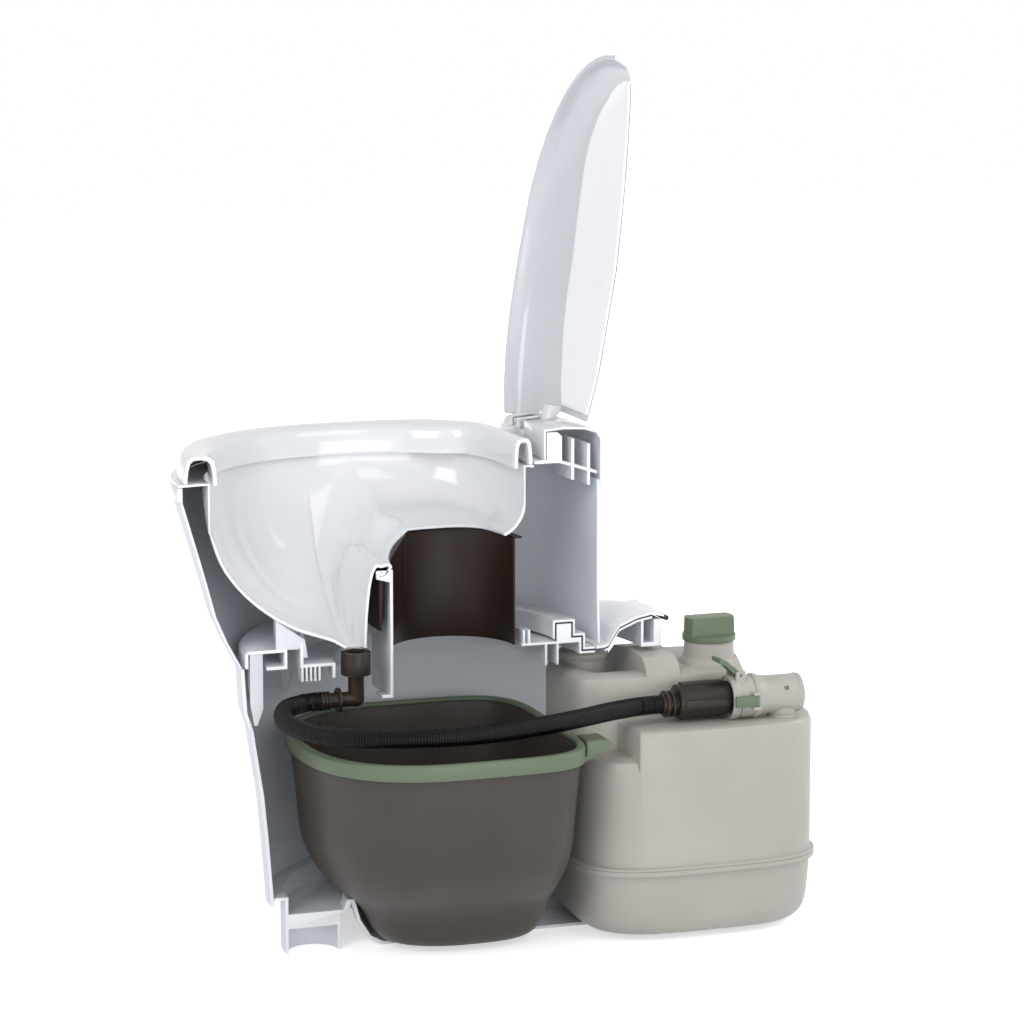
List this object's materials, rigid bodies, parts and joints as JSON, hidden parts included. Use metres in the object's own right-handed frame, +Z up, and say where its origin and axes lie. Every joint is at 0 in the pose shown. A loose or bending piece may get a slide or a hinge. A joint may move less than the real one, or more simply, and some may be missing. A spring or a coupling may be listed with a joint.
{
  "type": "composting toilet",
  "caption": "Cut-away swivel composting toilet: urine-separating bowl on a rotating pedestal, open lid, ribbed drain hose, solids bin and urine canister.",
  "frame": {"origin": "on the floor, in the cut plane, on the swivel axis of the pedestal", "axes": "+X from the front of the seat to the back, +Y away from the cut plane, +Z up"},
  "size_m": [0.6565, 0.3329, 0.8872],
  "materials": {
    "white_gloss": "gloss",
    "white_satin": "satin",
    "brown_plastic": "satin",
    "bin_plastic": "matte",
    "sage_plastic": "satin",
    "beige_plastic": "satin",
    "black_rubber": "matte",
    "steel": "brushed"
  },
  "bodies": {
    "base": {"base_tray": "white_satin", "lower_housing": "white_satin", "turntable_plate": "white_satin", "ring_frame": "white_satin", "ring_cover": "white_gloss", "ring_seal": "black_rubber", "deck_top": "white_gloss", "deck_seal": "black_rubber", "deck_bracket": "white_satin", "wall_seal": "black_rubber", "hose_sleeve": "brown_plastic", "drain_hose": "black_rubber"},
    "pedestal": {"upper_housing": "white_satin", "housing_collar": "white_gloss", "column_cap": "white_gloss", "hinge_bracket": "white_satin", "hinge_pin": "steel", "bowl": "white_gloss", "separator_plate": "white_gloss", "separator_shaft": "steel", "drop_duct": "brown_plastic", "outlet_nut": "brown_plastic", "drain_elbow": "brown_plastic"},
    "flap": {"diverter_flap": "brown_plastic"},
    "seat": {"seat_ring": "white_gloss", "seat_arm": "white_gloss"},
    "lid": {"lid_shell": "white_gloss", "lid_liner": "white_gloss", "lid_arm": "white_gloss"},
    "bin": {"bin_body": "bin_plastic", "bin_rim": "sage_plastic", "bin_grip": "sage_plastic"},
    "canister": {"canister_tub": "beige_plastic", "canister_body": "beige_plastic", "canister_inlet": "beige_plastic", "pour_tube": "beige_plastic", "clamp_head": "beige_plastic"},
    "filler_cap": {"filler_cap": "sage_plastic", "cap_gasket": "black_rubber"},
    "upper_lever": {"upper_lever": "sage_plastic"},
    "lower_latch": {"lower_latch": "sage_plastic"}
  },
  "joints": [
    {"name": "swivel", "type": "hinge", "parent": "base", "child": "pedestal", "pos_m": [0, 0, 0.294], "axis": [0, 0, 1], "range_deg": [-90, 90]},
    {"name": "flap_hinge", "type": "hinge", "parent": "pedestal", "child": "flap", "pos_m": [-0.0435, 0, 0.38], "axis": [0, 1, 0], "range_deg": [0, 10]},
    {"name": "seat_hinge", "type": "hinge", "parent": "pedestal", "child": "seat", "pos_m": [0.135, 0, 0.5], "axis": [0, 1, 0], "range_deg": [0, 90]},
    {"name": "lid_hinge", "type": "hinge", "parent": "pedestal", "child": "lid", "pos_m": [0.135, 0, 0.5], "axis": [0, 1, 0], "range_deg": [-100, 0]},
    {"name": "canister_slide", "type": "slide", "parent": "base", "child": "canister", "axis": [1, 0, 0], "range_m": [0, 0.4]},
    {"name": "bin_slide", "type": "slide", "parent": "base", "child": "bin", "axis": [1, 0, 0], "range_m": [0, 0.4]},
    {"name": "cap_lift", "type": "slide", "parent": "canister", "child": "filler_cap", "axis": [0, 0, 1], "range_m": [0, 0.06]},
    {"name": "upper_lever_hinge", "type": "hinge", "parent": "canister", "child": "upper_lever", "pos_m": [0.312, -0.062, 0.2675], "axis": [0, 1, 0], "range_deg": [0, 40]},
    {"name": "lower_latch_hinge", "type": "hinge", "parent": "canister", "child": "lower_latch", "pos_m": [0.325, -0.0869, 0.243], "axis": [0, 0, 1], "range_deg": [0, 60]}
  ],
  "couplings": [
    {"joint": "bin_slide", "follows": "canister_slide", "ratio": 1}
  ]
}
